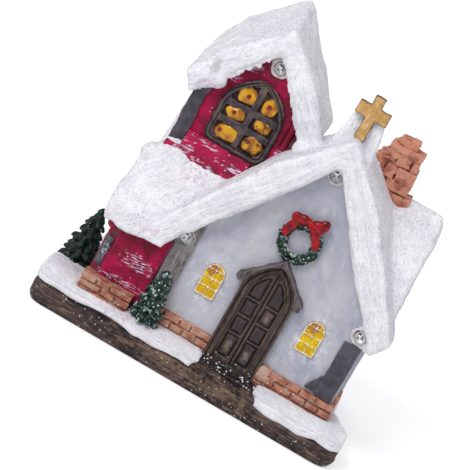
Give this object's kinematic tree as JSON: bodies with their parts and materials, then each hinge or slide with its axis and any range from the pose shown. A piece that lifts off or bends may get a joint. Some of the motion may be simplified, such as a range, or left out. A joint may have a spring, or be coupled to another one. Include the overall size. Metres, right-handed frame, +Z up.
{
  "type": "ceramic christmas village house",
  "caption": "Small painted ceramic village church on a snowy base, with clear lamps, a wreath, a gold cross and a battery box underneath.",
  "frame": {"origin": "middle of the flat underside of the base slab", "axes": "+Z up, the chapel door faces -Y, +X to the right when the front is looked at"},
  "size_m": [0.08, 0.048, 0.0844],
  "materials": {
    "snow": "cast, white painted, brushed, with fine sparkle",
    "wall_paint": "satin pearl grey-blue paint, mottled by hand",
    "red_paint": "satin raspberry red paint, dry brushed with white",
    "brown_paint": "umber paint with lighter dry brushing",
    "base_paint": "dark umber paint with tan streaks and glitter",
    "grey_paint": "charcoal grey paint",
    "dark_frame_paint": "dark grey-brown paint",
    "brick": "terracotta paint with darker joints",
    "gold_paint": "matte gold paint",
    "yellow_paint": "yellow paint with an orange patch",
    "white_paint": "thin white painted lines",
    "amber_gloss": "glossy amber drops of glaze",
    "green_paint": "dark green paint flecked with white",
    "red_gloss": "glossy red",
    "clear_lens": "clear moulded lamp lens",
    "clear_glue": "clear set glue",
    "plated_metal": "tin plated",
    "cell_steel": "plated steel button cell cans",
    "black_sleeve": "shrunk black sleeve",
    "wire_red": "thin insulated wire",
    "black_plastic": "moulded black plastic",
    "knob_plastic": "moulded black knob",
    "board_green": "green circuit board",
    "resistor_body": "tan resistor body"
  },
  "bodies": {
    "house": {"ground_slab": "base_paint", "snow_left": "snow", "snow_right": "snow", "snow_back": "snow", "main_walls": "wall_paint", "chapel_walls": "wall_paint", "wing_bay": "red_paint", "tower_walls": "red_paint", "main_roof": "snow", "chapel_roof": "snow", "tower_roof": "snow", "chimney_stack": "brick", "chimney_cap": "brick", "chimney_top": "brick", "cross_pedestal": "snow", "cross": "gold_paint", "door_frame": "brown_paint", "door_leaf_left": "brown_paint", "door_leaf_right": "brown_paint", "door_hood": "brown_paint", "door_steps": "brown_paint", "chapel_window_panes": "yellow_paint", "chapel_window_bars": "white_paint", "bay_window": "grey_paint", "tower_window_frame": "dark_frame_paint", "tower_window_panes": "amber_gloss", "tower_sill": "red_paint", "tower_pilasters": "grey_paint", "wreath": "green_paint", "wreath_bow": "red_gloss", "tree_left": "green_paint", "tree_centre": "green_paint", "plinth_left": "brick", "plinth_right": "brick", "plinth_side": "brick", "bay_planter": "brick", "pillar_left": "brown_paint", "pillar_right": "grey_paint", "led_tower": "clear_lens", "led_gable": "clear_lens", "led_left": "clear_lens", "led_right": "clear_lens", "led_leads": "plated_metal", "wire_sleeves": "black_sleeve", "wire_tower": "wire_red", "wire_gable": "wire_red", "wire_left": "wire_red", "wire_right": "wire_red", "lamp_glue": "clear_glue", "battery_housing": "black_plastic", "contact_spring": "plated_metal", "contact_plates": "plated_metal", "circuit_board": "board_green", "resistor": "resistor_body", "switch_body": "plated_metal"},
    "battery_door": {"battery_door": "black_plastic"},
    "door_screw": {"door_screw": "plated_metal"},
    "button_cells": {"button_cells": "cell_steel"},
    "switch_knob": {"switch_knob": "knob_plastic"}
  },
  "joints": [
    {"name": "switch_slide", "type": "slide", "parent": "house", "child": "switch_knob", "axis": [0, 1, 0], "range_m": [0, 0.002]},
    {"name": "battery_door_lift", "type": "slide", "parent": "house", "child": "battery_door", "axis": [0, 0, -1], "range_m": [0, 0.03]},
    {"name": "door_screw_turn", "type": "hinge", "parent": "battery_door", "child": "door_screw", "pos_m": [-0.0066, 0.0015, 0.0008], "axis": [0, 0, -1], "continuous": true},
    {"name": "cells_lift", "type": "slide", "parent": "house", "child": "button_cells", "axis": [0, 0, -1], "range_m": [0, 0.018]}
  ],
  "couplings": [
    {"joint": "cells_lift", "follows": "battery_door_lift", "ratio": 0.6}
  ]
}
